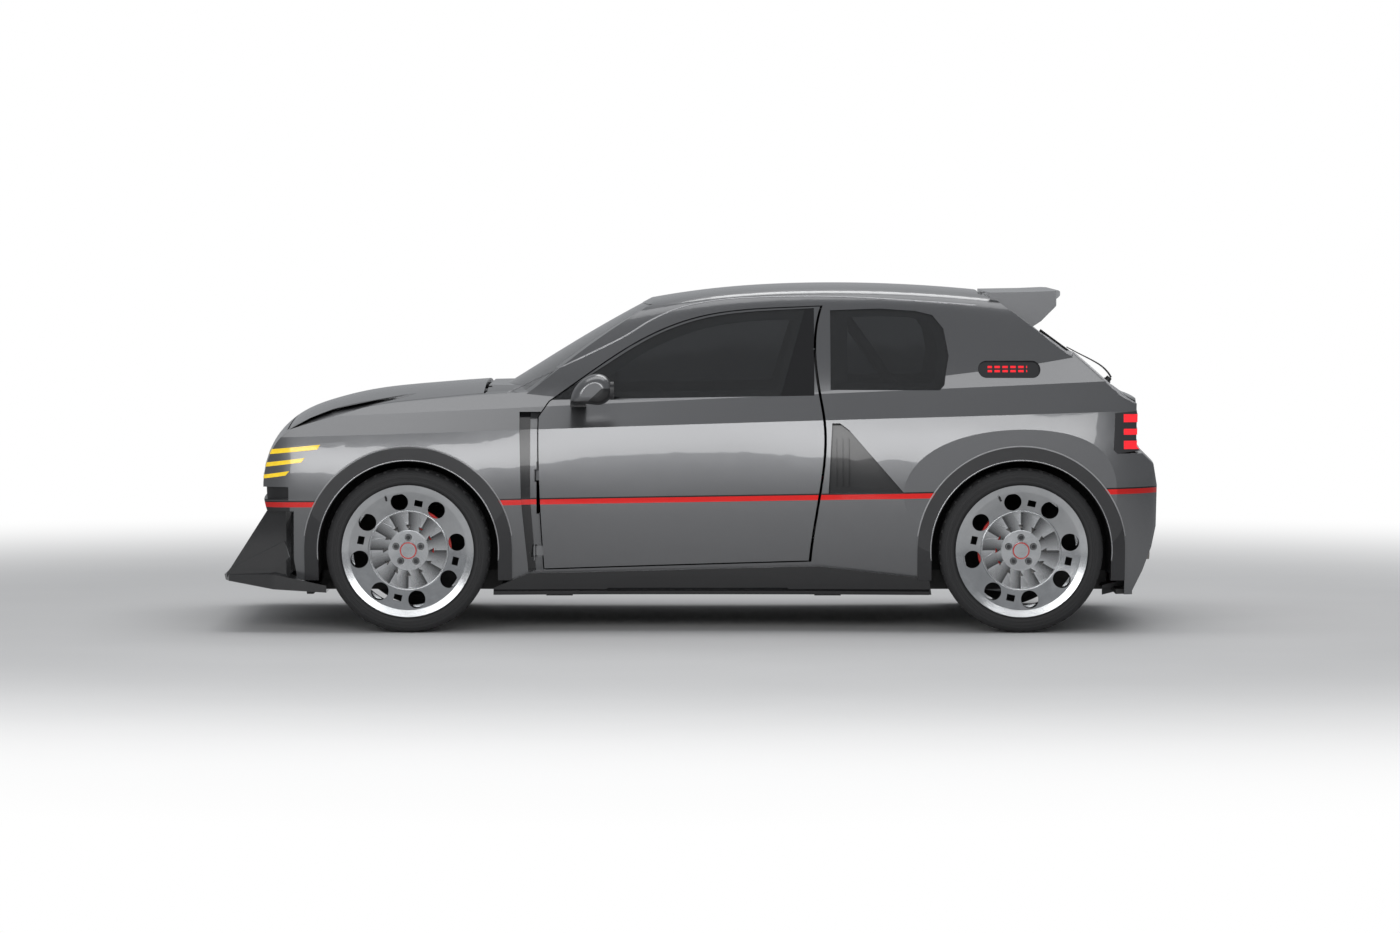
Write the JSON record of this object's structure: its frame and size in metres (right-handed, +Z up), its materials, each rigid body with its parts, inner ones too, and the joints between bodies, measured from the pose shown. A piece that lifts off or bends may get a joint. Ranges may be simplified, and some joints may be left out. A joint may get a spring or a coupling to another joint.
{
  "type": "rally car",
  "caption": "Wide-arched rally hatchback with steering, spinning wheels, opening doors, bonnet and tailgate, roll cage and bucket seats.",
  "frame": {"origin": "on the ground under the middle of the whole car", "axes": "+X towards the rear, +Y towards the right side, +Z up"},
  "size_m": [3.9009, 1.97, 1.437],
  "materials": {
    "body_paint": "metallic mid grey gloss",
    "black_trim": "satin black moulding",
    "dark_glass": "dark tinted glass",
    "lamp_yellow": "yellow lit lamp bar",
    "lamp_red": "dark housing with red bars",
    "tyre_rubber": "black tyre",
    "wheel_silver": "polished silver",
    "brake_steel": "turned steel",
    "carrier_metal": "dark cast metal with red caliper",
    "chassis_black": "satin black",
    "seat_shell": "moulded bucket",
    "seat_fabric": "black cloth",
    "cabin_plastic": "grained black",
    "cage_paint": "dark gloss tube",
    "exhaust_steel": "stainless"
  },
  "bodies": {
    "body_shell": {"arch_flares": "black_trim", "body_vents": "black_trim", "dashboard": "cabin_plastic", "diffuser": "black_trim", "engine_block": "chassis_black", "exhaust": "exhaust_steel", "floor_pan": "chassis_black", "front_bumper": "body_paint", "front_fenders": "body_paint", "front_suspension": "chassis_black", "headlamps": "lamp_yellow", "lower_grille": "black_trim", "pillar_lamps": "lamp_red", "quarter_glass": "dark_glass", "rear_bumper": "body_paint", "rear_suspension": "carrier_metal", "roll_cage": "cage_paint", "roof_panel": "body_paint", "scuttle_panel": "body_paint", "seat_pads": "seat_fabric", "seat_shells": "seat_shell", "side_frames": "body_paint", "side_skirts": "black_trim", "splitter": "black_trim", "tail_lamps": "lamp_red", "wheel_liners": "black_trim", "windscreen": "dark_glass"},
    "bonnet_lid": {"bonnet": "body_paint"},
    "door_left_leaf": {"door_left": "body_paint", "door_glass_left": "dark_glass", "mirror_left": "body_paint"},
    "door_right_leaf": {"door_right": "body_paint", "door_glass_right": "dark_glass", "mirror_right": "body_paint"},
    "hatch_lid": {"tailgate": "body_paint", "rear_glass": "dark_glass", "rear_spoiler": "black_trim"},
    "steer_left_carrier": {"knuckle_left": "carrier_metal"},
    "steer_right_carrier": {"knuckle_right": "carrier_metal"},
    "hand_wheel": {"steering_wheel": "cabin_plastic"},
    "wheel_front_left": {"tyre_front_left": "tyre_rubber", "rim_front_left": "wheel_silver", "brake_disc_front_left": "brake_steel"},
    "wheel_front_right": {"tyre_front_right": "tyre_rubber", "rim_front_right": "wheel_silver", "brake_disc_front_right": "brake_steel"},
    "wheel_rear_left": {"tyre_rear_left": "tyre_rubber", "rim_rear_left": "wheel_silver", "brake_disc_rear_left": "brake_steel"},
    "wheel_rear_right": {"tyre_rear_right": "tyre_rubber", "rim_rear_right": "wheel_silver", "brake_disc_rear_right": "brake_steel"}
  },
  "joints": [
    {"name": "steer_left", "type": "hinge", "parent": "body_shell", "child": "steer_left_carrier", "pos_m": [-1.1825, -0.754, 0.3395], "axis": [0, 0, 1], "range_deg": [-28, 28]},
    {"name": "steer_right", "type": "hinge", "parent": "body_shell", "child": "steer_right_carrier", "pos_m": [-1.1825, 0.754, 0.3395], "axis": [0, 0, 1], "range_deg": [-28, 28]},
    {"name": "front_left_spin", "type": "hinge", "parent": "steer_left_carrier", "child": "wheel_front_left", "pos_m": [-1.1825, -0.785, 0.3395], "axis": [0, 1, 0], "continuous": true},
    {"name": "rear_left_spin", "type": "hinge", "parent": "body_shell", "child": "wheel_rear_left", "pos_m": [1.3575, -0.795, 0.3395], "axis": [0, 1, 0], "continuous": true},
    {"name": "door_left_swing", "type": "hinge", "parent": "body_shell", "child": "door_left_leaf", "pos_m": [-0.66028, -0.826, 0.64952], "axis": [0, 0, -1], "range_deg": [0, 65]},
    {"name": "front_right_spin", "type": "hinge", "parent": "steer_right_carrier", "child": "wheel_front_right", "pos_m": [-1.1825, 0.785, 0.3395], "axis": [0, 1, 0], "continuous": true},
    {"name": "rear_right_spin", "type": "hinge", "parent": "body_shell", "child": "wheel_rear_right", "pos_m": [1.3575, 0.795, 0.3395], "axis": [0, 1, 0], "continuous": true},
    {"name": "door_right_swing", "type": "hinge", "parent": "body_shell", "child": "door_right_leaf", "pos_m": [-0.66028, 0.826, 0.64952], "axis": [0, 0, 1], "range_deg": [0, 65]},
    {"name": "bonnet_lift", "type": "hinge", "parent": "body_shell", "child": "bonnet_lid", "pos_m": [-0.84849, -0.47, 0.99284], "axis": [0, 1, 0], "range_deg": [0, 50]},
    {"name": "hatch_lift", "type": "hinge", "parent": "body_shell", "child": "hatch_lid", "pos_m": [1.22542, -0.33, 1.38448], "axis": [0, -1, 0], "range_deg": [0, 75]},
    {"name": "hand_wheel_turn", "type": "hinge", "parent": "body_shell", "child": "hand_wheel", "pos_m": [-0.09538, -0.33, 0.82627], "axis": [0.9511, 0, 0.309], "range_deg": [-336, 336]}
  ],
  "couplings": [
    {"joint": "steer_right", "follows": "steer_left", "ratio": 1},
    {"joint": "hand_wheel_turn", "follows": "steer_left", "ratio": 12}
  ]
}
